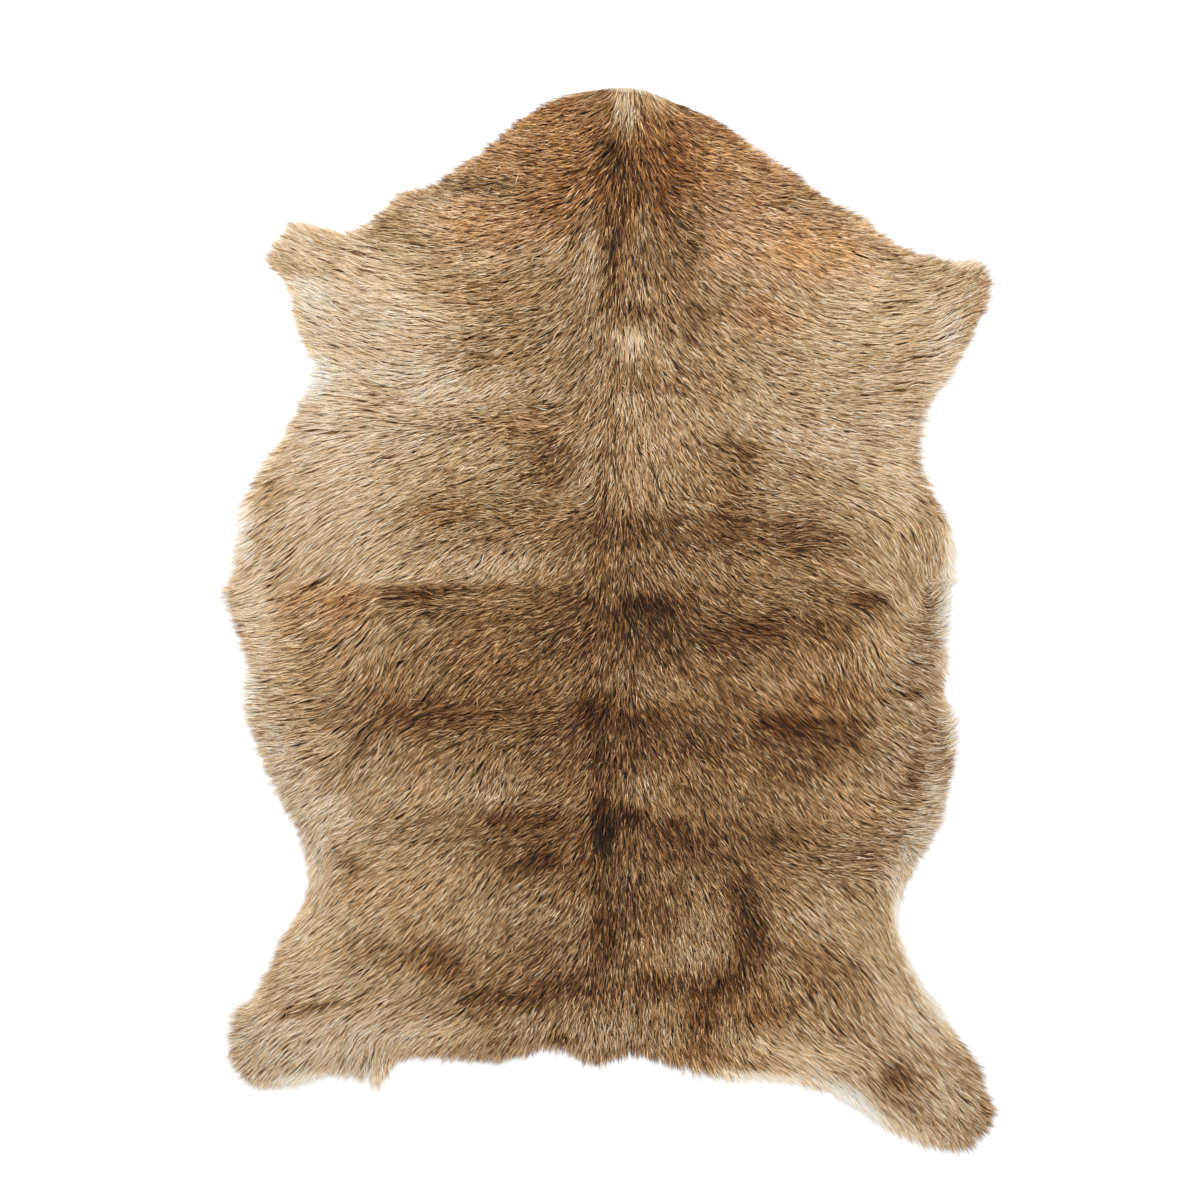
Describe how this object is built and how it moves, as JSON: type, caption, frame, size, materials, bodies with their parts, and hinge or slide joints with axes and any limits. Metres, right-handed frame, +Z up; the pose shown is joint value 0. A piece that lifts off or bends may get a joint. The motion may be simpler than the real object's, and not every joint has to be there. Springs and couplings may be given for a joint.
{
  "type": "goatskin",
  "caption": "Whole tanned skin with its short brown hair, lying flat with the hair up; the outline has a neck, leg corners and a tail stub.",
  "frame": {"origin": "on the floor, under the middle of the skin's bounding box", "axes": "+Z up out of the hair, +Y along the spine towards the neck, +X towards the side on the right of the picture"},
  "size_m": [0.6512, 0.8992, 0.0137],
  "materials": {
    "coat": "soft matte hair, brown with tan flanks",
    "skin": "matte suede flesh side"
  },
  "bodies": {
    "root": {"goatskin": "coat"}
  },
  "joints": []
}
